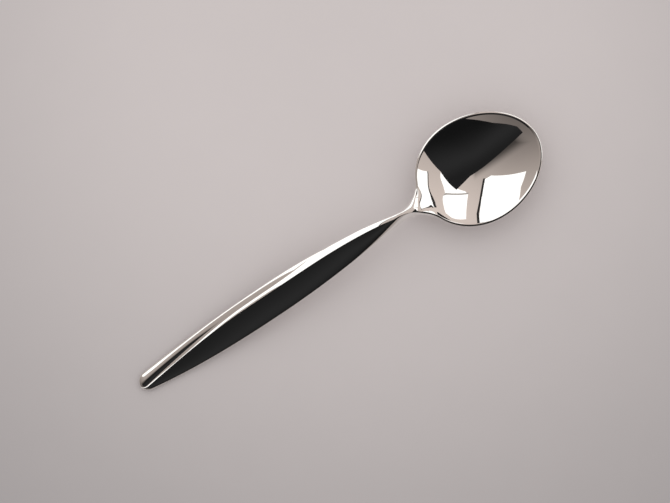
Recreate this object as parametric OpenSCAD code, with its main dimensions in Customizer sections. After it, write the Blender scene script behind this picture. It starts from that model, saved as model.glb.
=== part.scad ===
// Sauce spoon: a near-round bowl on a sculpted two-leaf handle, joined at the neck.
// Millimetres, +Z up. The spoon lies as on a table: the handle tip points to -X, the bowl to +X,
// and the origin is on the table under the middle of the spoon.
// Stations x are measured along the spoon from the handle tip, and v runs across it from -1 to 1.

/* [Overall] */
// Length from the handle tip to the far edge of the bowl
overall_length = 175; // [165:1:190]

/* [Bowl] */
// Length of the oval of the bowl
bowl_length = 50.2; // [46:0.2:56]
// Width of the bowl over its rim
bowl_width = 41.4; // [37:0.2:46]
// Distance from the middle of the oval back to its widest place
egg_shift = 1.9; // [0:0.1:3]
// Depth inside the bowl below its rim
bowl_depth = 9; // [7.6:0.2:11]
// Wall of the bowl at its deepest place
bowl_wall = 1.2; // [1:0.1:1.6]
// Depth of the small flat on which the belly of the bowl rests
belly_flat = 0.2; // [0.1:0.05:0.3]
// Width of the rounded rim
rim_width = 0.8; // [0.6:0.1:1.2]
// Thickness of the rounded rim
rim_thickness = 1.1; // [0.8:0.1:1.5]
// Climb of the rim from the middle of the bowl to its far edge
rim_climb = 0.5; // [0:0.1:2]
// Angle round the oval from the neck to the shoulders, where the neck's fillets end
shoulder_angle = 24; // [20:1:28]

/* [Handle outline] */
// Width of the handle at its widest place
handle_width = 12.9; // [11.5:0.1:15]
// Distance from the tip to the widest place
widest_at = 57; // [50:1:64]
// Width of the blunt tip
tip_width = 6; // [5.4:0.2:7]
// Length over which the end of the tip is rounded
tip_round = 3; // [2:0.2:4]
// Width of the neck at its narrowest
neck_width = 3.9; // [3.4:0.1:5]
// Thickness of the neck at its narrowest
neck_thickness = 5; // [4.6:0.1:5.8]
// Height of the keel over the edge line at the neck
keel_height = 3.2; // [2.6:0.1:3.6]

/* [Leaves] */
// Height of the ridge over the edge line at the widest place
ridge_height = 2.6; // [2:0.1:3.2]
// Height of the ridge over the edge line at the tip
tip_ridge_height = 1.1; // [0.8:0.1:1.6]
// Drop from the ridge to the valley at the widest place
valley_drop = 0.85; // [0.6:0.05:1.2]
// Drop from the ridge to the valley at the tip
tip_valley_drop = 0.2; // [0.1:0.05:0.4]
// Fall of the narrow leaf from the valley to its outer edge
leaf_fall = 0.4; // [0.2:0.05:0.6]
// Swell of the narrow leaf beside the valley, near the tip
leaf_swell = 0.6; // [0.3:0.05:0.9]
// Offset of the ridge from the centre line at its farthest, to +Y
ridge_offset = 2.4; // [1.8:0.1:2.8]
// Offset of the ridge from the centre line at the tip, to -Y
tip_ridge_offset = 2.3; // [2.1:0.1:2.5]
// Offset of the valley from the centre line at the widest place, to +Y
valley_offset = 4.05; // [3.6:0.05:4.6]
// Offset of the valley from the centre line at the tip, to -Y
tip_valley_offset = 1.9; // [1.4:0.1:1.9]
// Distance from the tip over which the ridge and the valley sweep across
sweep_run = 48; // [42:1:54]
// Distance from the tip to where the ridge turns back to the middle
ridge_turn = 74; // [66:1:82]
// Distance from the tip to where the swell starts to fade
swell_from = 5; // [2:0.5:10]
// Length over which the swell fades
swell_run = 43; // [30:1:50]
// Length past the widest place at which the narrow leaf runs out
leaf_run = 30; // [24:1:36]
// Height of the facet over the edge line where it runs into the rounded edge
edge_height = 0.7; // [0.4:0.05:0.9]
// Depth of the back below the edge line
back_depth = 1; // [0.7:0.1:1.5]

/* [Side view] */
// Climb of the edge line from the tip to the crest of the handle
crest_climb = 10.4; // [8:0.2:12]
// Distance from the neck's narrowest place back to the crest
crest_setback = 12; // [8:1:20]
// Length before the neck over which the handle thins to the stem
stem_run = 27; // [20:1:32]
// Length of the straight rest under the tip
rest_length = 8; // [5:0.5:14]

/* [Neck joint] */
// Length past the shoulders at which the bowl is fully open
throat_run = 2.5; // [1.5:0.5:4]
// Distance from the narrowest place back to the point of the V joint
joint_setback = 4; // [3:0.5:6]
// Length of the V for each millimetre of half width
joint_slope = 2; // [1:0.1:2.2]
// Length past the narrowest place at which the sections of the root stand square again
root_run = 3; // [2.5:0.5:5]
// Film of solder in the joint, measured along the spoon
solder_film = 0.2; // [0.1:0.05:0.4]

/* [Hidden] */

silver = [0.86, 0.86, 0.85];
silver_bowl = [0.9, 0.9, 0.89];
silver_solder = [0.8, 0.79, 0.75];

// Shape of the curves, without a size
leaf_power = 2.3;
waist_start_power = 2.1;
waist_end_power = 1.18;
edge_power = 5;
back_power = 2.4;
back_flat = 0.5;
neck_power = 2.2;
stem_facet_power = 1.3;
facet_bulge = 0.6;
slope_power = 1.4;
valley_limit = 0.88;
turn_power = 2.5;
trough_ease = 3.5;
root_ease = 5;
rim_share = 0.35;

// Places along the spoon
bowl_a = bowl_length / 2;
bowl_egg = egg_shift / bowl_a;
bowl_b = bowl_width / (2 + bowl_egg * bowl_egg);
bowl_at = overall_length - bowl_a;
neck_half = neck_width / 2;
shoulder_at = bowl_at - bowl_a * cos(shoulder_angle);
shoulder_half = bowl_b * sin(shoulder_angle) * (1 + bowl_egg * cos(shoulder_angle));
shoulder_rise = bowl_b * (cos(shoulder_angle) + bowl_egg * cos(2 * shoulder_angle));
shoulder_normal = unit([shoulder_rise, bowl_a * sin(shoulder_angle)]);
fillet_radius = (shoulder_half - neck_half) / (1 - shoulder_normal[1]);
neck_at = shoulder_at - fillet_radius * shoulder_normal[0];
joint_at = neck_at - joint_setback;
seam_at = joint_at + solder_film;
crest_at = neck_at - crest_setback;
stem_from = neck_at - stem_run;
root_end = neck_at + root_run;
throat_to = shoulder_at + throat_run;

// Heights
rim_half = rim_thickness / 2;
inner_a = bowl_a - rim_width;
inner_b = bowl_b - rim_width;
outer_depth = bowl_depth + bowl_wall - rim_half;
rim_line = outer_depth + rim_climb * rim_climb / (4 * outer_depth) - belly_flat;

// Points of one section: ridge or keel first, then over the +Y edge to the back and round again
valley_steps = 6;
top_steps = 16;
rim_steps = 3;
back_steps = 12;
half_points = top_steps + back_steps + 1;
ring_points = 2 * half_points - 2;
inner_steps = top_steps - rim_steps;
tip_rings = 6;
handle_rings = 50;
slant_rings = 6;
root_rings = 5;
bowl_rings = 22;
bowl_ribs = 44;

// Steps that bring a slanted ring onto its V
slant_tries = 16;

function unit(p) = p / norm(p);
function mix(a, b, t) = a + (b - a) * t;
function ease(t) = let (c = min(1, max(0, t))) c * c * (3 - 2 * c);
function ramp(x, from, to) = ease((x - from) / (to - from));
function round_off(v, power) = pow(max(0, 1 - pow(abs(v), power)), 1 / power);
function soft_max(a, b, k) = let (h = max(k - abs(a - b), 0) / k) max(a, b) + h * h * k / 4;

// Plan outline: leaf to the widest place, waist to the neck, fillet, then the oval
function tip_end(x) = x < tip_round ? sqrt(1 - pow(1 - x / tip_round, 2)) : 1;
function leaf_half(x) =
    handle_width / 2 - (handle_width - tip_width) / 2 * pow(1 - x / widest_at, leaf_power);
function waist_half(x) =
    let (t = min(1, (x - widest_at) / (neck_at - widest_at)))
    neck_half + (handle_width / 2 - neck_half) * pow(1 - pow(t, waist_start_power), waist_end_power);
function handle_half(x) = x < widest_at ? leaf_half(x) : waist_half(x);
function fillet_half(x) =
    neck_half + fillet_radius - sqrt(fillet_radius * fillet_radius - pow(x - neck_at, 2));
function along_oval(x) = (x - bowl_at) / bowl_a;
function oval_half(x) =
    let (u = along_oval(x))
    bowl_b * sqrt(max(0, 1 - u * u)) * (1 - bowl_egg * u);
function half_width(x) =
    x < neck_at ? handle_half(x) * tip_end(x)
    : x < shoulder_at ? fillet_half(x)
    : oval_half(x);

// Slope of the outline, which widens the rim across a slanting section
function oval_slope(u) =
    let (flat = sqrt(1 - u * u))
    -bowl_b / bowl_a * (u * (1 - bowl_egg * u) / flat + bowl_egg * flat);
function outline_slope(x) =
    x < neck_at ? 0
    : x < shoulder_at ? (x - neck_at) / sqrt(fillet_radius * fillet_radius - pow(x - neck_at, 2))
    : oval_slope(along_oval(x));
function rim_across(x) =
    min(rim_width * sqrt(1 + pow(outline_slope(x), 2)), rim_share * half_width(x));
function inner_share(x) = 1 - rim_across(x) / half_width(x);

// Height of the edge line: rest under the tip, climb to the crest, then down to the rim
function handle_line(x) = back_depth + crest_climb * ramp(x, rest_length, crest_at);
function bowl_line(x) = rim_line + rim_climb * along_oval(x);
function edge_line(x) = mix(handle_line(x), bowl_line(x), ramp(x, crest_at, shoulder_at));

// Ridge and valley sweep from the -Y corner of the tip to the +Y side, then back to the middle
function sweep(x) = sin(90 * min(1, x / sweep_run));
function turned_back(x) =
    pow(min(1, max(0, (x - ridge_turn) / (joint_at - ridge_turn))), turn_power);
function ridge_v(x) =
    mix(-tip_ridge_offset, ridge_offset, sweep(x)) * (1 - turned_back(x)) / handle_half(x);
function valley_v(x) =
    x < widest_at
    ? mix(-tip_valley_offset, valley_offset, sweep(x)) / leaf_half(x)
    : mix(valley_offset / (handle_width / 2), valley_limit, ramp(x, widest_at, widest_at + leaf_run));

// Height of the handle's top over the edge line, before its edges are rounded
function ridge_top(x) = mix(tip_ridge_height, ridge_height, ramp(x, 0, widest_at));
function valley_top(x) = ridge_top(x) - mix(tip_valley_drop, valley_drop, ramp(x, 0, widest_at));
function swell(x) = leaf_swell * (1 - ramp(x, swell_from, swell_from + swell_run));
function broad_leaf(x, t) =
    edge_height + (ridge_top(x) - edge_height) * (1 - t) * (1 + facet_bulge * t);
function ridge_slope(x, t) = mix(valley_top(x), ridge_top(x), pow(t, slope_power));
function narrow_leaf(x, t) = valley_top(x) - leaf_fall * t + 4 * swell(x) * t * (1 - t);
function leaf_top(x, v) =
    let (r = ridge_v(x))
    let (q = valley_v(x))
    v <= r ? broad_leaf(x, (r - v) / (r + 1))
    : v <= q ? ridge_slope(x, (q - v) / (q - r))
    : narrow_leaf(x, (v - q) / (1 - q));

// The handle thins to a stem, and the stem opens into the bowl
function stem(x) = ramp(x, stem_from, neck_at);
function throat(x) = ramp(x, neck_at, throat_to);

// The ridge runs on as the keel of the stem: a flat facet on its -Y side, a round one on its +Y side
function keel_v(x) = ridge_v(x) * stem(x);
function facet_side(x, t) = round_off(t, mix(edge_power, stem_facet_power, stem(x)));
function round_side(x, t) = round_off(t, mix(edge_power, neck_power, stem(x)));
function stem_rounding(x, v) =
    let (k = keel_v(x))
    v < k ? facet_side(x, (k - v) / (1 + k)) : round_side(x, (v - k) / (1 - k));
function stem_top(x, v) =
    mix(leaf_top(x, v), keel_height, stem(x)) * stem_rounding(x, v) * tip_end(x);
function stem_back(x) = mix(back_depth, neck_thickness - keel_height, stem(x)) * tip_end(x);
function back_rounding(x, v) =
    let (flat = mix(back_flat, 0, stem(x)))
    round_off(max(0, abs(v) - flat) / (1 - flat), mix(back_power, neck_power, stem(x)));

// Depth of the bowl along its keel, inside and outside, as a share of the way to the rim
function dish(u) = 1 - u * u;
function keel_inside(x) = soft_max(0, bowl_depth * dish((x - bowl_at) / inner_a), trough_ease);
function keel_outside(x) = outer_depth * dish(along_oval(x));
function rim_top(inner, v) = rim_half * sqrt(max(0, 1 - pow((v - inner) / (1 - inner), 2)));
function bowl_top(x, v) =
    let (inner = inner_share(x))
    v < inner ? rim_half - keel_inside(x) * dish(v / inner) : rim_top(inner, v);

// Section across the spoon at station x, for half h: 1 on the +Y side, -1 on the -Y side
function stem_v(x, h, i) =
    h < 0 ? mix(ridge_v(x), -1, sin(90 * i / top_steps))
    : i <= valley_steps ? mix(ridge_v(x), valley_v(x), i / valley_steps)
    : mix(valley_v(x), 1, sin(90 * (i - valley_steps) / (top_steps - valley_steps)));
function rib_v(inner, i) =
    i <= inner_steps ? inner * i / inner_steps
    : mix(inner, 1, sin(90 * (i - inner_steps) / rim_steps));
function back_v(i) = cos(90 * (i - top_steps) / back_steps);
function top_v(x, h, i) = mix(stem_v(x, h, i), h * rib_v(inner_share(x), i), throat(x));
function section_v(x, h, i) = i <= top_steps ? top_v(x, h, i) : h * back_v(i);
function top_z(x, v) =
    mix(stem_top(x, v), bowl_top(x, abs(v)), throat(x));
function back_z(x, v) =
    let (deep = soft_max(stem_back(x), keel_outside(x), root_ease))
    deep * mix(back_rounding(x, v), dish(v), throat(x));
function section_z(x, h, i) =
    let (v = section_v(x, h, i))
    i <= top_steps ? edge_line(x) + top_z(x, v) : max(0, edge_line(x) - back_z(x, v));
function section_y(x, h, i) = section_v(x, h, i) * half_width(x);

// A ring may slant back from the middle to the edges, as the V joint does
function half_of(j) = j < half_points ? 1 : -1;
function step_of(j) = j < half_points ? j : ring_points - j;
function slanted(at, slant, j, tries, x) =
    tries == 0 ? x
    : slanted(at, slant, j, tries - 1, at + slant * joint_slope * abs(section_y(x, half_of(j), step_of(j))));
function ring_point(at, slant, j) =
    let (x = slant == 0 ? at : slanted(at, slant, j, slant_tries, at))
    let (y = section_y(x, half_of(j), step_of(j)))
    let (z = section_z(x, half_of(j), step_of(j)))
    [x - overall_length / 2, y, z];
function ring(at, slant) = [for (j = [0:ring_points - 1]) ring_point(at, slant, j)];

// Faces between rings that follow each other from -X to +X, and the two halves of a V end
function band_faces(first, second) = [
    for (j = [0:ring_points - 1])
    let (k = (j + 1) % ring_points)
    each [[first + j, first + k, second + k], [first + j, second + k, second + j]]
];
function end_faces(first) = [
    for (j = [0:ring_points - 1])
    let (k = (j + 1) % ring_points)
    if (j != half_points - 1 && k != half_points - 1) [first + half_points - 1, first + j, first + k]
];
function turned(faces) = [for (f = faces) [f[0], f[2], f[1]]];
function tube_faces(rings) = [
    for (i = [0:rings - 2])
    each band_faces(i * ring_points, (i + 1) * ring_points)
];

// Handle: from a point at the tip, through the leaves, to the notch of the V joint
module handle() {
    tip_rows = [for (i = [1:tip_rings]) [tip_round * (1 - cos(90 * i / tip_rings)), 0]];
    step = (joint_at - tip_round) / handle_rings;
    body_rows = [
        for (i = [1:handle_rings])
        [tip_round + step * i, ramp(i, handle_rings - slant_rings, handle_rings)]
    ];
    rows = concat(tip_rows, body_rows);
    tip = len(rows) * ring_points;
    tip_point = [-overall_length / 2, 0, edge_line(0)];
    tip_faces = [for (j = [0:ring_points - 1]) [tip, (j + 1) % ring_points, j]];
    color(silver)
    polyhedron(
        points = concat([for (r = rows) each ring(r[0], r[1])], [tip_point]),
        faces = concat(tip_faces, tube_faces(len(rows)), end_faces(tip - ring_points))
    );
}

// Solder seam: the film between the notch of the handle and the root of the bowl
module solder_seam() {
    color(silver_solder)
    polyhedron(
        points = concat(ring(joint_at, 1), ring(seam_at, 1)),
        faces = concat(turned(end_faces(0)), tube_faces(2), end_faces(ring_points))
    );
}

// One rib of the front half of the bowl, from the keel inside over the rim to the keel outside
function front_dish(p, a, b) =
    let (u = p[0] / a)
    1 - u * u - pow(p[1] / b / (1 - bowl_egg * u), 2);
function rib_z(p, inner, v, i) =
    i > top_steps ? -outer_depth * front_dish(p, bowl_a, bowl_b)
    : v < inner ? rim_half - bowl_depth * front_dish(p, inner_a, inner_b)
    : rim_top(inner, v);
function rib_point(angle, i) =
    let (reach = [bowl_a * cos(angle), bowl_b * sin(angle) * (1 - bowl_egg * cos(angle))])
    let (inner = 1 / norm([reach[0] / inner_a, bowl_b * sin(angle) / inner_b]))
    let (v = i <= top_steps ? rib_v(inner, i) : back_v(i))
    let (p = v * reach)
    let (x = bowl_at + p[0])
    [x - overall_length / 2, p[1], max(0, bowl_line(x) + rib_z(p, inner, v, i))];

// Bowl: rings from the root to the middle of the oval, then ribs fanned round the front
module bowl() {
    root_rows = [
        for (i = [0:root_rings])
        [mix(seam_at, root_end, i / root_rings), 1 - i / root_rings]
    ];
    bowl_rows = [for (i = [1:bowl_rings]) [mix(root_end, bowl_at, i / bowl_rings), 0]];
    rows = concat(root_rows, bowl_rows);
    middle = (len(rows) - 1) * ring_points;
    front = len(rows) * ring_points;
    inside = half_points - 2;
    ribs = [
        for (f = [1:bowl_ribs - 1])
        for (i = [1:inside])
        rib_point(90 - 180 * f / bowl_ribs, i)
    ];
    function rib_index(f, i) =
        i == 0 || i == half_points - 1 || f == 0 ? middle + i
        : f == bowl_ribs ? middle + ring_points - i
        : front + (f - 1) * inside + i - 1;
    rib_faces = [
        for (f = [0:bowl_ribs - 1])
        for (i = [0:half_points - 2])
        each [
            if (i < half_points - 2) [rib_index(f, i), rib_index(f, i + 1), rib_index(f + 1, i + 1)],
            if (i > 0) [rib_index(f, i), rib_index(f + 1, i + 1), rib_index(f + 1, i)]
        ]
    ];
    color(silver_bowl)
    polyhedron(
        points = concat([for (r = rows) each ring(r[0], r[1])], ribs),
        faces = concat(turned(end_faces(0)), tube_faces(len(rows)), rib_faces)
    );
}

bowl();
handle();
solder_seam();
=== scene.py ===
import math

import bpy
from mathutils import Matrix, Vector


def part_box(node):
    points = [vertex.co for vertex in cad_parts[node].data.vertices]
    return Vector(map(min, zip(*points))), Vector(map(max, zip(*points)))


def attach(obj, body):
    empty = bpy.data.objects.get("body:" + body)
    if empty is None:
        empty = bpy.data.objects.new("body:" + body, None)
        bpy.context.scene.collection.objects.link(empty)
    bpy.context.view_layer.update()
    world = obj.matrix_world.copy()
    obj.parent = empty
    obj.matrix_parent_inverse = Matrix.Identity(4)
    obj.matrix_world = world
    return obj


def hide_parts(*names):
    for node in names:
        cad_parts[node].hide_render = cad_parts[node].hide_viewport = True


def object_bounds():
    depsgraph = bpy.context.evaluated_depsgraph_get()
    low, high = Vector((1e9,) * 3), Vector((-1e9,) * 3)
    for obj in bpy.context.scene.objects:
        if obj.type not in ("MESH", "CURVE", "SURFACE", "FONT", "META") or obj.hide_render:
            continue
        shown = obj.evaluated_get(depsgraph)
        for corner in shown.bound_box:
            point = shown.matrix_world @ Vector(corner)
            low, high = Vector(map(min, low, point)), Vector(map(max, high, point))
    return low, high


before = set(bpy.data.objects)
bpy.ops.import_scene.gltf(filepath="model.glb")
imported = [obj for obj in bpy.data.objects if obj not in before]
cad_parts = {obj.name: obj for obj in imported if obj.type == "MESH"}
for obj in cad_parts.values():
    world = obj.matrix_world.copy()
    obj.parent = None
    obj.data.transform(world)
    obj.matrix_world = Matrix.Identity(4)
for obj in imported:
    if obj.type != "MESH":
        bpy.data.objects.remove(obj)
cad_low, cad_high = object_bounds()

MM = 0.001

# Bowl, in millimetres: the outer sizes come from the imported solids
bowl_low, bowl_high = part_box("bowl")
OVERALL_LENGTH = (cad_high.x - cad_low.x) / MM
BOWL_WIDTH = (bowl_high.y - bowl_low.y) / MM
BOWL_LENGTH = 50.2
EGG_SHIFT = 1.9
BOWL_DEPTH = 9
BOWL_WALL = 1.2
BELLY_FLAT = 0.2
RIM_WIDTH = 0.8
RIM_THICKNESS = 1.1
RIM_CLIMB = 0.5

# Handle, in millimetres
HANDLE_WIDTH = 12.9
WIDEST_AT = 57
TIP_WIDTH = 6
TIP_ROUND = 3
REST_LENGTH = 8
CREST_CLIMB = 10.38
CREST_SETBACK = 12
EDGE_HEIGHT = 0.7
BACK_DEPTH = 1

# Ridge, valley and narrow leaf, in millimetres
RIDGE_HEIGHT = 2.6
TIP_RIDGE_HEIGHT = 1.1
RIDGE_OFFSET = 2.4
TIP_RIDGE_OFFSET = 2.3
RIDGE_TURN = 74
VALLEY_DROP = 0.85
TIP_VALLEY_DROP = 0.2
VALLEY_OFFSET = 4.05
TIP_VALLEY_OFFSET = 1.9
SWEEP_RUN = 48
LEAF_FALL = 0.4
LEAF_RUN = 30
LEAF_SWELL = 0.6
SWELL_FROM = 5
SWELL_RUN = 43

# Stem, joint and throat, in millimetres
NECK_WIDTH = 3.9
NECK_THICKNESS = 5
KEEL_HEIGHT = 3.2
STEM_RUN = 27
JOINT_SETBACK = 4
SOLDER_FILM = 0.2
ROOT_RUN = 3
ROOT_EASE = 5
TROUGH_EASE = 5.5
THROAT_LAG = 6
THROAT_RUN = 7
THROAT_SIDE_LEAD = 3
DRIFT_LEAD = 1.5
DRIFT_STOP = 4

# Shape of the curves, without a size
LEAF_POWER = 2.3
WAIST_START_POWER = 2.1
WAIST_END_POWER = 1.18
EDGE_POWER = 5
BACK_POWER = 2.4
BACK_FLAT = 0.5
NECK_POWER = 2.2
STEM_FACET_POWER = 1.3
FACET_BULGE = 0.6
SLOPE_POWER = 1.4
VALLEY_LIMIT = 0.88
TURN_POWER = 2.5
SHOULDER_ANGLE = math.radians(24)
JOINT_SLOPE = 2
THROAT_POWER = 3
THROAT_SOFTNESS = 0.15
KEEL_DRIFT = 0.9
RIM_SHARE = 0.35
LEAST_FLAT = 1e-6

# Sizes worked out from those, and places along the spoon measured from the handle tip
BOWL_A = BOWL_LENGTH / 2
BOWL_EGG = EGG_SHIFT / BOWL_A
BOWL_B = BOWL_WIDTH / (2 + BOWL_EGG**2)
BOWL_AT = OVERALL_LENGTH - BOWL_A
NECK_HALF = NECK_WIDTH / 2
SHOULDER_SIN = math.sin(SHOULDER_ANGLE)
SHOULDER_COS = math.cos(SHOULDER_ANGLE)
SHOULDER_AT = BOWL_AT - BOWL_A * SHOULDER_COS
SHOULDER_HALF = BOWL_B * SHOULDER_SIN * (1 + BOWL_EGG * SHOULDER_COS)
SHOULDER_RISE = BOWL_B * (SHOULDER_COS + BOWL_EGG * (SHOULDER_COS**2 - SHOULDER_SIN**2))
SHOULDER_NORMAL = Vector((SHOULDER_RISE, BOWL_A * SHOULDER_SIN)).normalized()
FILLET_RADIUS = (SHOULDER_HALF - NECK_HALF) / (1 - SHOULDER_NORMAL.y)
NECK_AT = SHOULDER_AT - FILLET_RADIUS * SHOULDER_NORMAL.x
JOINT_AT = NECK_AT - JOINT_SETBACK
SEAM_AT = JOINT_AT + SOLDER_FILM
CREST_AT = NECK_AT - CREST_SETBACK
STEM_FROM = NECK_AT - STEM_RUN
ROOT_END = NECK_AT + ROOT_RUN
THROAT_FROM = NECK_AT + THROAT_LAG
THROAT_TO = SHOULDER_AT + THROAT_RUN
DRIFT_FROM = JOINT_AT + DRIFT_LEAD
DRIFT_TO = SHOULDER_AT - DRIFT_STOP
RIM_HALF = RIM_THICKNESS / 2
INNER_A = BOWL_A - RIM_WIDTH
INNER_B = BOWL_B - RIM_WIDTH
OUTER_DEPTH = BOWL_DEPTH + BOWL_WALL - RIM_HALF
RIM_LINE = OUTER_DEPTH + RIM_CLIMB**2 / (4 * OUTER_DEPTH) - BELLY_FLAT

# Fineness of the polished skins
VALLEY_STEPS = 16
TOP_STEPS = 48
RIM_STEPS = 12
BACK_STEPS = 30
HALF_POINTS = TOP_STEPS + BACK_STEPS + 1
RING_POINTS = 2 * HALF_POINTS - 2
INNER_STEPS = TOP_STEPS - RIM_STEPS
TIP_RINGS = 18
HANDLE_RINGS = 220
SLANT_RINGS = 26
ROOT_RINGS = 20
BOWL_RINGS = 90
BOWL_RIBS = 180
SLANT_TRIES = 16


def mix(a, b, t):
    return a + (b - a) * t


def ease(t):
    c = min(1, max(0, t))
    return c * c * (3 - 2 * c)


def ramp(x, start, end):
    return ease((x - start) / (end - start))


def sine(share):
    return math.sin(math.pi / 2 * share)


def cosine(share):
    return math.cos(math.pi / 2 * share)


def both_ends_fine(share):
    return (1 - math.cos(math.pi * share)) / 2


def round_off(v, power):
    return max(0, 1 - abs(v) ** power) ** (1 / power)


def soft_max(a, b, k):
    h = max(k - abs(a - b), 0) / k
    return max(a, b) + h * h * k / 4


# Plan outline: leaf to the widest place, waist to the neck, fillet, then the oval
def tip_end(x):
    return math.sqrt(max(0, 1 - (1 - x / TIP_ROUND) ** 2)) if x < TIP_ROUND else 1


def leaf_half(x):
    return HANDLE_WIDTH / 2 - (HANDLE_WIDTH - TIP_WIDTH) / 2 * (1 - x / WIDEST_AT) ** LEAF_POWER


def waist_half(x):
    t = min(1, (x - WIDEST_AT) / (NECK_AT - WIDEST_AT))
    return NECK_HALF + (HANDLE_WIDTH / 2 - NECK_HALF) * (1 - t**WAIST_START_POWER) ** WAIST_END_POWER


def handle_half(x):
    return leaf_half(x) if x < WIDEST_AT else waist_half(x)


def fillet_half(x):
    return NECK_HALF + FILLET_RADIUS - math.sqrt(FILLET_RADIUS**2 - (x - NECK_AT) ** 2)


def oval_half(x):
    u = (x - BOWL_AT) / BOWL_A
    return BOWL_B * math.sqrt(max(0, 1 - u * u)) * (1 - BOWL_EGG * u)


def half_width(x):
    if x < NECK_AT:
        return handle_half(x) * tip_end(x)
    if x < SHOULDER_AT:
        return fillet_half(x)
    return oval_half(x)


# Slope of the outline, which widens the rim across a slanting section
def outline_slope(x):
    if x < NECK_AT:
        return 0
    if x < SHOULDER_AT:
        return (x - NECK_AT) / math.sqrt(FILLET_RADIUS**2 - (x - NECK_AT) ** 2)
    u = (x - BOWL_AT) / BOWL_A
    flat = math.sqrt(max(1 - u * u, LEAST_FLAT))
    return BOWL_B / BOWL_A * (-u * (1 - BOWL_EGG * u) / flat - BOWL_EGG * flat)


def inner_share(x):
    half = half_width(x)
    across = min(RIM_WIDTH * math.sqrt(1 + outline_slope(x) ** 2), RIM_SHARE * half)
    return 1 - across / half


# Height of the edge line: rest under the tip, climb to the crest, then down to the rim
def bowl_line(x):
    return RIM_LINE + RIM_CLIMB * (x - BOWL_AT) / BOWL_A


def edge_line(x):
    handle_line = BACK_DEPTH + CREST_CLIMB * ramp(x, REST_LENGTH, CREST_AT)
    return mix(handle_line, bowl_line(x), ramp(x, CREST_AT, SHOULDER_AT))


# Ridge and valley sweep from the -Y corner of the tip to the +Y side, then back to the middle. Past the
# joint the ridge drifts over to the -Y rim of the throat, which the solids leave out.
def sweep(x):
    return sine(min(1, x / SWEEP_RUN))


def ridge_v(x):
    turned_back = min(1, max(0, (x - RIDGE_TURN) / (JOINT_AT - RIDGE_TURN))) ** TURN_POWER
    swept = mix(-TIP_RIDGE_OFFSET, RIDGE_OFFSET, sweep(x)) * (1 - turned_back) / handle_half(x)
    return swept - KEEL_DRIFT * ramp(x, DRIFT_FROM, DRIFT_TO)


def valley_v(x):
    if x < WIDEST_AT:
        return mix(-TIP_VALLEY_OFFSET, VALLEY_OFFSET, sweep(x)) / leaf_half(x)
    return mix(VALLEY_OFFSET / (HANDLE_WIDTH / 2), VALLEY_LIMIT, ramp(x, WIDEST_AT, WIDEST_AT + LEAF_RUN))


# Height of the handle's top over the edge line, before its edges are rounded
def leaf_top(x, v):
    ridge_at = ridge_v(x)
    valley_at = valley_v(x)
    ridge_top = mix(TIP_RIDGE_HEIGHT, RIDGE_HEIGHT, ramp(x, 0, WIDEST_AT))
    valley_top = ridge_top - mix(TIP_VALLEY_DROP, VALLEY_DROP, ramp(x, 0, WIDEST_AT))
    if v <= ridge_at:
        t = (ridge_at - v) / (ridge_at + 1)
        return EDGE_HEIGHT + (ridge_top - EDGE_HEIGHT) * (1 - t) * (1 + FACET_BULGE * t)
    if v <= valley_at:
        t = (valley_at - v) / (valley_at - ridge_at)
        return mix(valley_top, ridge_top, t**SLOPE_POWER)
    t = (v - valley_at) / (1 - valley_at)
    swell = LEAF_SWELL * (1 - ramp(x, SWELL_FROM, SWELL_FROM + SWELL_RUN))
    return valley_top - LEAF_FALL * t + 4 * swell * t * (1 - t)


# The handle thins to a stem. The stem opens into the bowl later and more suddenly than in the solids,
# and along its -Y rim first.
def stem(x):
    return ramp(x, STEM_FROM, NECK_AT)


def throat(x, v=0):
    lead = THROAT_SIDE_LEAD * min(0, v) ** 2
    t = soft_max(0, (x + lead - THROAT_FROM) / (THROAT_TO - THROAT_FROM), THROAT_SOFTNESS)
    return 1 - (1 - min(1, t)) ** THROAT_POWER


# The ridge runs on as the keel of the stem: a flat facet on its -Y side, a round one on its +Y side
def stem_rounding(x, v):
    keel_at = ridge_v(x) * stem(x)
    if v < keel_at:
        return round_off((keel_at - v) / (1 + keel_at), mix(EDGE_POWER, STEM_FACET_POWER, stem(x)))
    return round_off((v - keel_at) / (1 - keel_at), mix(EDGE_POWER, NECK_POWER, stem(x)))


def stem_top(x, v):
    return mix(leaf_top(x, v), KEEL_HEIGHT, stem(x)) * stem_rounding(x, v) * tip_end(x)


def stem_back(x):
    return mix(BACK_DEPTH, NECK_THICKNESS - KEEL_HEIGHT, stem(x)) * tip_end(x)


def back_rounding(x, v):
    flat = mix(BACK_FLAT, 0, stem(x))
    return round_off(max(0, abs(v) - flat) / (1 - flat), mix(BACK_POWER, NECK_POWER, stem(x)))


# Depth of a dished section as a share of its full depth, at a share u of the way to the rim
def dish(u):
    return 1 - u * u


def keel_inside(x):
    return soft_max(0, BOWL_DEPTH * dish((x - BOWL_AT) / INNER_A), TROUGH_EASE)


def rim_top(inner, v):
    return RIM_HALF * math.sqrt(max(0, 1 - ((v - inner) / (1 - inner)) ** 2))


def bowl_top(x, v):
    inner = inner_share(x)
    if v > inner:
        return rim_top(inner, v)
    return RIM_HALF - keel_inside(x) * dish(v / inner)


# Section across the spoon at station x, for half h: 1 on the +Y side, -1 on the -Y side
def stem_v(x, h, i):
    if h < 0:
        return mix(ridge_v(x), -1, both_ends_fine(i / TOP_STEPS))
    if i <= VALLEY_STEPS:
        return mix(ridge_v(x), valley_v(x), both_ends_fine(i / VALLEY_STEPS))
    return mix(valley_v(x), 1, both_ends_fine((i - VALLEY_STEPS) / (TOP_STEPS - VALLEY_STEPS)))


def rib_v(inner, i):
    if i <= INNER_STEPS:
        return inner * i / INNER_STEPS
    return mix(inner, 1, sine((i - INNER_STEPS) / RIM_STEPS))


def back_v(i):
    return cosine((i - TOP_STEPS) / BACK_STEPS)


def section_v(x, h, i):
    if i > TOP_STEPS:
        return h * back_v(i)
    return mix(stem_v(x, h, i), h * rib_v(inner_share(x), i), throat(x))


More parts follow.
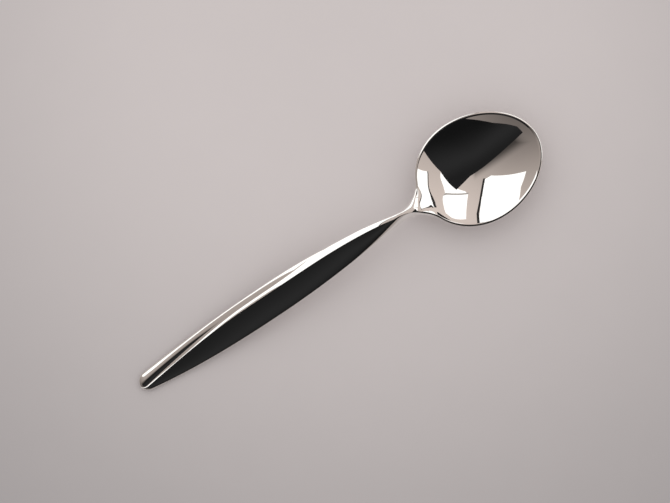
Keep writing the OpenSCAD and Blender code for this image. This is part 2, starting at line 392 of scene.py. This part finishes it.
def section_z(x, i, v):
    if i <= TOP_STEPS:
        return edge_line(x) + mix(stem_top(x, v), bowl_top(x, abs(v)), throat(x, v))
    deep = soft_max(stem_back(x), OUTER_DEPTH * dish((x - BOWL_AT) / BOWL_A), ROOT_EASE)
    return max(0, edge_line(x) - deep * mix(back_rounding(x, v), dish(v), throat(x)))


def in_metres(x, y, z):
    return ((x - OVERALL_LENGTH / 2) * MM, y * MM, z * MM)


# A ring may slant back from the middle to the edges, as the V joint does
def ring_point(at, slant, j):
    h = 1 if j < HALF_POINTS else -1
    i = j if j < HALF_POINTS else RING_POINTS - j
    x = at
    if slant > 0:
        for _ in range(SLANT_TRIES):
            x = at + slant * JOINT_SLOPE * abs(section_v(x, h, i) * half_width(x))
    v = section_v(x, h, i)
    return in_metres(x, v * half_width(x), section_z(x, i, v))


def ring(at, slant):
    return [ring_point(at, slant, j) for j in range(RING_POINTS)]


def band_faces(first, second):
    faces = []
    for j in range(RING_POINTS):
        k = (j + 1) % RING_POINTS
        faces.append((first + j, second + j, second + k, first + k))
    return faces


def tube_faces(rings):
    faces = []
    for i in range(rings - 1):
        faces += band_faces(i * RING_POINTS, (i + 1) * RING_POINTS)
    return faces


def without_repeats(corners):
    return [c for n, c in enumerate(corners) if c not in corners[:n]]


# The two halves of a V end, each a strip of faces from the +Y side to the -Y side
def end_faces(first, towards_bowl):
    faces = []
    for i in range(HALF_POINTS - 1):
        right = (first + i, first + i + 1)
        left = (first + (RING_POINTS - i) % RING_POINTS, first + RING_POINTS - i - 1)
        face = without_repeats([right[0], right[1], left[1], left[0]])
        faces.append(tuple(reversed(face) if towards_bowl else face))
    return faces


# The skin is smooth up to a sharp border, so the hidden flat ends don't bend its polish at the joint
def make_piece(name, points, skin, ends):
    mesh = bpy.data.meshes.new(name)
    mesh.from_pydata(points, [], skin + ends)
    borders = set()
    for polygon in mesh.polygons:
        polygon.use_smooth = polygon.index < len(skin)
        if not polygon.use_smooth:
            borders.update(polygon.edge_keys)
    for edge in mesh.edges:
        edge.use_edge_sharp = edge.key in borders
    mesh.validate()
    piece = bpy.data.objects.new(name, mesh)
    bpy.context.scene.collection.objects.link(piece)
    return piece


# Handle: from a point at the tip, through the leaves, to the notch of the V joint
def make_handle():
    rows = [(TIP_ROUND * (1 - cosine(i / TIP_RINGS)), 0) for i in range(1, TIP_RINGS + 1)]
    step = (JOINT_AT - TIP_ROUND) / HANDLE_RINGS
    for i in range(1, HANDLE_RINGS + 1):
        rows.append((TIP_ROUND + step * i, ramp(i, HANDLE_RINGS - SLANT_RINGS, HANDLE_RINGS)))
    points = [p for at, slant in rows for p in ring(at, slant)]
    tip = len(points)
    points.append(in_metres(0, 0, edge_line(0)))
    skin = [(tip, j, (j + 1) % RING_POINTS) for j in range(RING_POINTS)] + tube_faces(len(rows))
    return make_piece("handle_polished", points, skin, end_faces(tip - RING_POINTS, True))


# Solder seam: the film between the notch of the handle and the root of the bowl
def make_seam():
    points = ring(JOINT_AT, 1) + ring(SEAM_AT, 1)
    ends = end_faces(0, False) + end_faces(RING_POINTS, True)
    return make_piece("solder_seam_polished", points, tube_faces(2), ends)


# Depth of the front of the bowl at a place in plan, as a share of its full depth
def front_dish(along, across, a, b):
    u = along / a
    return 1 - u * u - (across / b / (1 - BOWL_EGG * u)) ** 2


def rib_point(angle, i):
    reach_x = BOWL_A * math.cos(angle)
    reach_y = BOWL_B * math.sin(angle)
    inner = 1 / math.hypot(reach_x / INNER_A, reach_y / INNER_B)
    v = rib_v(inner, i) if i <= TOP_STEPS else back_v(i)
    along = v * reach_x
    across = v * reach_y * (1 - BOWL_EGG * math.cos(angle))
    if i > TOP_STEPS:
        height = -OUTER_DEPTH * front_dish(along, across, BOWL_A, BOWL_B)
    elif v < inner:
        height = RIM_HALF - BOWL_DEPTH * front_dish(along, across, INNER_A, INNER_B)
    else:
        height = rim_top(inner, v)
    return in_metres(BOWL_AT + along, across, max(0, bowl_line(BOWL_AT + along) + height))


# Bowl: rings from the root to the middle of the oval, then ribs fanned round the front
def make_bowl():
    rows = []
    for i in range(ROOT_RINGS + 1):
        rows.append((mix(SEAM_AT, ROOT_END, i / ROOT_RINGS), 1 - i / ROOT_RINGS))
    for i in range(1, BOWL_RINGS + 1):
        rows.append((mix(ROOT_END, BOWL_AT, i / BOWL_RINGS), 0))
    points = [p for at, slant in rows for p in ring(at, slant)]
    middle = len(points) - RING_POINTS
    front = len(points)
    inside = HALF_POINTS - 2
    for f in range(1, BOWL_RIBS):
        angle = math.pi / 2 - math.pi * f / BOWL_RIBS
        points += [rib_point(angle, i) for i in range(1, inside + 1)]

    def rib_index(f, i):
        if i in (0, HALF_POINTS - 1) or f == 0:
            return middle + i
        if f == BOWL_RIBS:
            return middle + RING_POINTS - i
        return front + (f - 1) * inside + i - 1

    skin = tube_faces(len(rows))
    for f in range(BOWL_RIBS):
        for i in range(HALF_POINTS - 1):
            corners = [(f, i), (f + 1, i), (f + 1, i + 1), (f, i + 1)]
            skin.append(tuple(without_repeats([rib_index(*c) for c in corners])))
    return make_piece("bowl_polished", points, skin, end_faces(0, False))


handle = make_handle()
seam = make_seam()
bowl = make_bowl()
for piece, node, finish in (
    (handle, "handle", "handle_silver"),
    (seam, "solder_seam", "seam_solder"),
    (bowl, "bowl", "bowl_silver"),
):
    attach(piece, "root")
    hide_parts(node)


# Finishes: one polish group, placed in each silver with its own values
def make_polish_group():
    group = bpy.data.node_groups.new("silver polish", "ShaderNodeTree")
    for way, name, kind in (
        ("INPUT", "Clean colour", "NodeSocketColor"),
        ("INPUT", "Tarnish colour", "NodeSocketColor"),
        ("INPUT", "Tarnish", "NodeSocketFloat"),
        ("INPUT", "Bright roughness", "NodeSocketFloat"),
        ("INPUT", "Dull roughness", "NodeSocketFloat"),
        ("INPUT", "Hairline", "NodeSocketFloat"),
        ("OUTPUT", "Colour", "NodeSocketColor"),
        ("OUTPUT", "Roughness", "NodeSocketFloat"),
        ("OUTPUT", "Height", "NodeSocketFloat"),
    ):
        group.interface.new_socket(name, in_out=way, socket_type=kind)
    nodes, links = group.nodes, group.links
    values = nodes.new("NodeGroupInput")
    result = nodes.new("NodeGroupOutput")
    place = nodes.new("ShaderNodeTexCoord")

    # Buffing haze: broad soft clouds
    haze = nodes.new("ShaderNodeTexNoise")
    haze.inputs["Scale"].default_value = 38
    haze.inputs["Detail"].default_value = 3
    links.new(place.outputs["Object"], haze.inputs["Vector"])

    # Buffing hairlines: noise drawn out along the spoon
    draw_out = nodes.new("ShaderNodeMapping")
    draw_out.inputs["Scale"].default_value = (0.06, 1, 1)
    links.new(place.outputs["Object"], draw_out.inputs["Vector"])
    hairline = nodes.new("ShaderNodeTexNoise")
    hairline.inputs["Scale"].default_value = 2600
    hairline.inputs["Detail"].default_value = 2
    links.new(draw_out.outputs["Vector"], hairline.inputs["Vector"])

    # Tarnish gathers in the brighter clouds of the haze
    gather = nodes.new("ShaderNodeMapRange")
    gather.inputs["From Min"].default_value = 0.45
    gather.inputs["From Max"].default_value = 0.8
    links.new(haze.outputs["Fac"], gather.inputs["Value"])
    amount = nodes.new("ShaderNodeMath")
    amount.operation = "MULTIPLY"
    links.new(gather.outputs["Result"], amount.inputs[0])
    links.new(values.outputs["Tarnish"], amount.inputs[1])
    colour = nodes.new("ShaderNodeMix")
    colour.data_type = "RGBA"
    links.new(amount.outputs["Value"], colour.inputs["Factor"])
    links.new(values.outputs["Clean colour"], colour.inputs["A"])
    links.new(values.outputs["Tarnish colour"], colour.inputs["B"])
    links.new(colour.outputs["Result"], result.inputs["Colour"])

    # The same clouds are a little duller
    rough = nodes.new("ShaderNodeMapRange")
    links.new(haze.outputs["Fac"], rough.inputs["Value"])
    rough.inputs["From Min"].default_value = 0.3
    rough.inputs["From Max"].default_value = 0.75
    links.new(values.outputs["Bright roughness"], rough.inputs["To Min"])
    links.new(values.outputs["Dull roughness"], rough.inputs["To Max"])
    links.new(rough.outputs["Result"], result.inputs["Roughness"])

    lines = nodes.new("ShaderNodeMath")
    lines.operation = "MULTIPLY"
    links.new(hairline.outputs["Fac"], lines.inputs[0])
    links.new(values.outputs["Hairline"], lines.inputs[1])
    links.new(lines.outputs["Value"], result.inputs["Height"])
    return group


TARNISH_COLOUR = (0.78, 0.74, 0.67)
polish = make_polish_group()


def make_silver(name, clean, tarnish, bright, dull, hairline):
    material = bpy.data.materials.new(name)
    material.use_nodes = True
    nodes, links = material.node_tree.nodes, material.node_tree.links
    shader = nodes["Principled BSDF"]
    shader.inputs["Metallic"].default_value = 1
    surface = nodes.new("ShaderNodeGroup")
    surface.node_tree = polish
    surface.inputs["Clean colour"].default_value = (*clean, 1)
    surface.inputs["Tarnish colour"].default_value = (*TARNISH_COLOUR, 1)
    surface.inputs["Tarnish"].default_value = tarnish
    surface.inputs["Bright roughness"].default_value = bright
    surface.inputs["Dull roughness"].default_value = dull
    surface.inputs["Hairline"].default_value = hairline
    links.new(surface.outputs["Colour"], shader.inputs["Base Color"])
    links.new(surface.outputs["Roughness"], shader.inputs["Roughness"])
    bump = nodes.new("ShaderNodeBump")
    bump.inputs["Strength"].default_value = 0.02
    bump.inputs["Distance"].default_value = 0.00002
    links.new(surface.outputs["Height"], bump.inputs["Height"])
    links.new(bump.outputs["Normal"], shader.inputs["Normal"])
    return material


bowl.data.materials.append(
    make_silver("bowl silver", (0.93, 0.92, 0.9), tarnish=0.12, bright=0.015, dull=0.03, hairline=0.4)
)
handle.data.materials.append(
    make_silver("handle silver", (0.92, 0.91, 0.89), tarnish=0.16, bright=0.02, dull=0.04, hairline=0.6)
)
seam.data.materials.append(
    make_silver("seam solder", (0.88, 0.87, 0.84), tarnish=0.3, bright=0.03, dull=0.07, hairline=0.8)
)

# Stage, in metres: a floor just under the rests, with a pool of light painted into its colour beyond the
# spoon
FLOOR_HALF = 4
FLOOR_DROP = 0.0001
PAINTED_LIGHT_SPOT = (0.053, 0.077, 0)
PAINTED_SPOT_CORE = 0.0575
PAINTED_SPOT_REACH = 0.269
# Painted light: the floor's colour in the painted pool of light, and its painted darker falloff
PAINTED_LIT_COLOUR = (0.672, 0.612, 0.602)
PAINTED_FALLOFF_COLOUR = (0.4, 0.37, 0.368)
MOTTLE_SHARE = 0.06


# Floor: a pale matt table top with a faint mottle; its colour is painted light, lighter in a painted pool
# of light and darker away from it
def make_floor_with_painted_light():
    material = bpy.data.materials.new("table top with painted light pool")
    material.use_nodes = True
    nodes, links = material.node_tree.nodes, material.node_tree.links
    shader = nodes["Principled BSDF"]
    shader.inputs["Roughness"].default_value = 0.7
    shader.inputs["Specular IOR Level"].default_value = 0
    place = nodes.new("ShaderNodeTexCoord")
    mottle = nodes.new("ShaderNodeTexNoise")
    mottle.inputs["Scale"].default_value = 60
    mottle.inputs["Detail"].default_value = 5
    links.new(place.outputs["Object"], mottle.inputs["Vector"])
    away = nodes.new("ShaderNodeVectorMath")
    away.operation = "DISTANCE"
    away.inputs[1].default_value = PAINTED_LIGHT_SPOT
    links.new(place.outputs["Object"], away.inputs[0])
    # Painted light: the colour darkens with the distance from the painted spot of light
    painted_falloff = nodes.new("ShaderNodeMapRange")
    painted_falloff.interpolation_type = "SMOOTHSTEP"
    painted_falloff.inputs["From Min"].default_value = PAINTED_SPOT_CORE
    painted_falloff.inputs["From Max"].default_value = PAINTED_SPOT_REACH
    links.new(away.outputs["Value"], painted_falloff.inputs["Value"])
    mottle_and_painted_falloff = nodes.new("ShaderNodeMath")
    mottle_and_painted_falloff.operation = "MULTIPLY_ADD"
    mottle_and_painted_falloff.inputs[1].default_value = MOTTLE_SHARE
    links.new(mottle.outputs["Fac"], mottle_and_painted_falloff.inputs[0])
    links.new(painted_falloff.outputs["Result"], mottle_and_painted_falloff.inputs[2])
    colour = nodes.new("ShaderNodeMix")
    colour.data_type = "RGBA"
    colour.inputs["A"].default_value = (*PAINTED_LIT_COLOUR, 1)
    colour.inputs["B"].default_value = (*PAINTED_FALLOFF_COLOUR, 1)
    links.new(mottle_and_painted_falloff.outputs["Value"], colour.inputs["Factor"])
    links.new(colour.outputs["Result"], shader.inputs["Base Color"])
    return material


def make_stage_piece(name, points, faces, material):
    mesh = bpy.data.meshes.new(name)
    mesh.from_pydata(points, [], faces)
    mesh.materials.append(material)
    piece = bpy.data.objects.new(name, mesh)
    bpy.context.scene.collection.objects.link(piece)
    return piece


floor_corners = [(x * FLOOR_HALF, y * FLOOR_HALF, 0) for x, y in ((-1, -1), (1, -1), (1, 1), (-1, 1))]
floor = make_stage_piece("table top", floor_corners, [(0, 1, 2, 3)], make_floor_with_painted_light())
floor.location.z = -FLOOR_DROP

# Studio walls and cards hang round the bowl, and only the polished silver sees them. A corner is given
# as on a sky map with the zenith in the middle: degrees from the zenith towards +X and towards +Y.
CARD_CENTRE = Vector(((BOWL_AT - OVERALL_LENGTH / 2) * MM, 0, 0))
WALL_DISTANCE = 1.8
PANEL_DISTANCE = 1.6
CARD_DISTANCE = 1.5
BAR_DISTANCE = 1.4
WALL_TURNS = 48
WALL_ROWS = 16
HORIZON = 90


def sky_point(towards_x, towards_y, distance):
    down = math.radians(math.hypot(towards_x, towards_y))
    turn = math.atan2(towards_y, towards_x)
    out = Vector((math.sin(down) * math.cos(turn), math.sin(down) * math.sin(turn), math.cos(down)))
    return distance * out


def hang_round_bowl(piece):
    piece.location = CARD_CENTRE
    piece.visible_camera = False
    piece.visible_diffuse = False
    piece.visible_shadow = False


def make_glow(name, colour=(1, 1, 1), strength=1):
    material = bpy.data.materials.new(name)
    material.use_nodes = True
    nodes, links = material.node_tree.nodes, material.node_tree.links
    nodes.remove(nodes["Principled BSDF"])
    light = nodes.new("ShaderNodeEmission")
    light.inputs["Color"].default_value = (*colour, 1)
    light.inputs["Strength"].default_value = strength
    links.new(light.outputs["Emission"], nodes["Material Output"].inputs["Surface"])
    return material


def place_parts(nodes, links):
    place = nodes.new("ShaderNodeTexCoord")
    split = nodes.new("ShaderNodeSeparateXYZ")
    links.new(place.outputs["Object"], split.inputs["Vector"])
    return split.outputs


# Walls: pinkish grey, lighter towards +X and +Y, with a dim band overhead along the spoon. The band lies
# between its front and back ends, and each end and each side fades from one place to another.
WALL_TINT = (1, 0.865, 0.8)
WALL_LEVEL = 0.41
RISE_TOWARDS_X = 0.15
RISE_TOWARDS_Y = 0.07
BAND_LEVEL = 0.25
BAND_SIDE = (0, 0.62)
BAND_FRONT = (0.15, 0.6)
BAND_BACK = (-1.15, -1.45)


def make_wall_material():
    material = make_glow("pinkish wall")
    nodes, links = material.node_tree.nodes, material.node_tree.links

    def measure(operation, first, second, third=None):
        node = nodes.new("ShaderNodeMath")
        node.operation = operation
        for socket, value in zip(node.inputs, (first, second, third)):
            if isinstance(value, (int, float)):
                socket.default_value = value
            elif value is not None:
                links.new(value, socket)
        return node.outputs["Value"]

    def smooth(value, start, end):
        node = nodes.new("ShaderNodeMapRange")
        node.interpolation_type = "SMOOTHSTEP"
        node.inputs["From Min"].default_value = start
        node.inputs["From Max"].default_value = end
        links.new(value, node.inputs["Value"])
        return node.outputs["Result"]

    place = place_parts(nodes, links)
    x, y = place["X"], place["Y"]
    level_at_middle = measure("MULTIPLY_ADD", x, RISE_TOWARDS_X, WALL_LEVEL)
    level = measure("MULTIPLY_ADD", y, RISE_TOWARDS_Y, level_at_middle)
    beside = smooth(measure("ABSOLUTE", y, 0), *BAND_SIDE)
    band = measure("MULTIPLY_ADD", beside, 1 - BAND_LEVEL, BAND_LEVEL)
    ends = measure("MAXIMUM", smooth(x, *BAND_FRONT), smooth(x, *BAND_BACK))
    lit = measure("MAXIMUM", band, ends)
    tint = nodes.new("ShaderNodeVectorMath")
    tint.operation = "SCALE"
    tint.inputs[0].default_value = WALL_TINT
    links.new(measure("MULTIPLY", level, lit), tint.inputs["Scale"])
    links.new(tint.outputs["Vector"], nodes["Emission"].inputs["Color"])
    return material


# Dark card: a soft sheen across its middle, given as grey levels at places along Y
SHEEN_STOPS = ((-1.3, 0.007), (-0.6, 0.023), (0, 0.014))
SHEEN_BLUE = 1.03
CARD_LOW = -1.4
CARD_HIGH = 0.1


def make_dark_card_material():
    material = make_glow("black card")
    nodes, links = material.node_tree.nodes, material.node_tree.links
    across = nodes.new("ShaderNodeMapRange")
    across.inputs["From Min"].default_value = CARD_LOW
    across.inputs["From Max"].default_value = CARD_HIGH
    links.new(place_parts(nodes, links)["Y"], across.inputs["Value"])
    shade = nodes.new("ShaderNodeValToRGB")
    shade.color_ramp.interpolation = "EASE"
    positions = [(at - CARD_LOW) / (CARD_HIGH - CARD_LOW) for at, grey in SHEEN_STOPS]
    stops = shade.color_ramp.elements
    stops.new(positions[1])
    for stop, position, (at, grey) in zip(stops, positions, SHEEN_STOPS):
        stop.position = position
        stop.color = (grey, grey, SHEEN_BLUE * grey, 1)
    links.new(across.outputs["Result"], shade.inputs["Fac"])
    links.new(shade.outputs["Color"], nodes["Emission"].inputs["Color"])
    return material


def make_wall():
    points = [sky_point(0, 0, WALL_DISTANCE)]
    faces = []
    for row in range(1, WALL_ROWS + 1):
        down = HORIZON * row / WALL_ROWS
        for turn in range(WALL_TURNS):
            angle = 2 * math.pi * turn / WALL_TURNS
            points.append(sky_point(down * math.cos(angle), down * math.sin(angle), WALL_DISTANCE))
            here = (row - 1) * WALL_TURNS + turn + 1
            beside = (row - 1) * WALL_TURNS + (turn + 1) % WALL_TURNS + 1
            if row == 1:
                faces.append((0, here, beside))
            else:
                faces.append((here - WALL_TURNS, here, beside, beside - WALL_TURNS))
    hang_round_bowl(make_stage_piece("studio wall", points, faces, make_wall_material()))


# A card is a fan of faces from its middle to its corners
def make_card(name, corners, middle, distance, material):
    points = [sky_point(*middle, distance)] + [sky_point(*c, distance) for c in corners]
    count = len(corners)
    faces = [(0, i + 1, (i + 1) % count + 1) for i in range(count)]
    hang_round_bowl(make_stage_piece(name, points, faces, material))


# A bar is a strip along a path on the sky map, with its own width at each corner
def make_bar(name, path, material):
    points = []
    for n, (x, y, width) in enumerate(path):
        before = path[max(n - 1, 0)]
        after = path[min(n + 1, len(path) - 1)]
        along = Vector((after[0] - before[0], after[1] - before[1])).normalized()
        side_x, side_y = -along.y * width / 2, along.x * width / 2
        points.append(sky_point(x + side_x, y + side_y, BAR_DISTANCE))
        points.append(sky_point(x - side_x, y - side_y, BAR_DISTANCE))
    faces = [(2 * n, 2 * n + 1, 2 * n + 3, 2 * n + 2) for n in range(len(path) - 1)]
    hang_round_bowl(make_stage_piece(name, points, faces, material))


WHITE_STRENGTH = 1.3
white = make_glow("white panel", (1, 0.99, 0.98), WHITE_STRENGTH)
black = make_dark_card_material()
dark_grey = make_glow("dark bar", (0.03, 0.028, 0.027))
pale_grey = make_glow("pale bar", (0.42, 0.39, 0.37))

make_wall()
make_card(
    "dark card",
    [(-53, -4), (0, 6), (20, 7), (44, 16), (47, 2), (47.5, -22), (49, -53), (38, -62), (22, -69),
     (5, -73), (-6, -72), (-20, -62), (-32, -49), (-44, -34), (-51, -20)],
    (0, -25), CARD_DISTANCE, black,
)
make_card(
    "wide panel",
    [(-2, 28), (-30, 60), (-14, 75), (-1, 88), (44, 77), (8, 27)],
    (8, 60), PANEL_DISTANCE, white,
)
make_bar("wide panel bar", [(7, 25, 3), (16, 38, 3), (28, 54.5, 3), (38, 66, 3), (44, 78, 3)], dark_grey)
make_card(
    "tall panel",
    [(35, 33), (52, 62), (63, 51), (66, 40), (64, 31), (60.5, 19), (57, 12), (54.5, 0), (52, -13),
     (48, -21), (46, 0), (42, 16), (36, 26)],
    (52, 25), PANEL_DISTANCE, white,
)
make_bar("tall panel bar", [(34, 32, 2.4), (48, 21.5, 2.4), (57.5, 13, 2.4)], pale_grey)

# The dark bar of the low panel runs along its inner edge and thins towards -Y
LOW_PANEL_EDGE = [(71.5, 17), (70.3, 10), (69.5, 4), (68.5, -3), (66.5, -10), (64, -15), (62, -19),
                  (59.5, -24), (58, -28)]
LOW_BAR_START = (73.5, 25, 3)
LOW_BAR_WIDTHS = [2.4, 2, 1.5, 1.3, 1.2, 1.2, 1.2, 1, 1]
low_bar = [LOW_BAR_START] + [(x, y, width) for (x, y), width in zip(LOW_PANEL_EDGE, LOW_BAR_WIDTHS)]
make_card(
    "low panel",
    [(73.5, 24), (80, 24), (90, 5), (90, -28), (70, -35)] + LOW_PANEL_EDGE[::-1],
    (76, -12), PANEL_DISTANCE, white,
)
make_bar("low panel bar", low_bar, dark_grey)

# Light: a pale room and one soft lamp, in metres and watts
ROOM_LEVEL = 0.855
LAMP_SIZE = 1.4
LAMP_POWER = 1.3
LAMP_PLACE = Vector((0.1, 0.9, 1.0))

world = bpy.data.worlds.new("pale room")
bpy.context.scene.world = world
world.use_nodes = True
room = world.node_tree.nodes["Background"]
room.inputs["Color"].default_value = (ROOM_LEVEL, ROOM_LEVEL, ROOM_LEVEL, 1)


def aim(thing, place, target):
    thing.location = place
    thing.rotation_euler = (target - place).to_track_quat("-Z", "Y").to_euler()


lamp = bpy.data.objects.new("key lamp", bpy.data.lights.new("key lamp", "AREA"))
lamp.data.size = LAMP_SIZE
lamp.data.energy = LAMP_POWER
aim(lamp, LAMP_PLACE, Vector((0, 0, 0)))
lamp.visible_glossy = False
lamp.visible_camera = False
bpy.context.scene.collection.objects.link(lamp)

# Camera: the photo's view, high over the near side of the spoon
AZIMUTH = math.radians(-32.71)
ELEVATION = math.radians(80)
DISTANCE = 0.6
VIEW_TARGET = Vector((0.00056, 0.00367, 0))
LENS = 85.76
SENSOR_WIDTH = 36

level_share = math.cos(ELEVATION)
back = Vector((math.sin(AZIMUTH) * level_share, -math.cos(AZIMUTH) * level_share, math.sin(ELEVATION)))
camera = bpy.data.objects.new("camera", bpy.data.cameras.new("camera"))
camera.data.lens = LENS
camera.data.sensor_width = SENSOR_WIDTH
aim(camera, VIEW_TARGET + back * DISTANCE, VIEW_TARGET)
bpy.context.scene.collection.objects.link(camera)
bpy.context.scene.camera = camera
bpy.context.scene.view_settings.view_transform = "Standard"
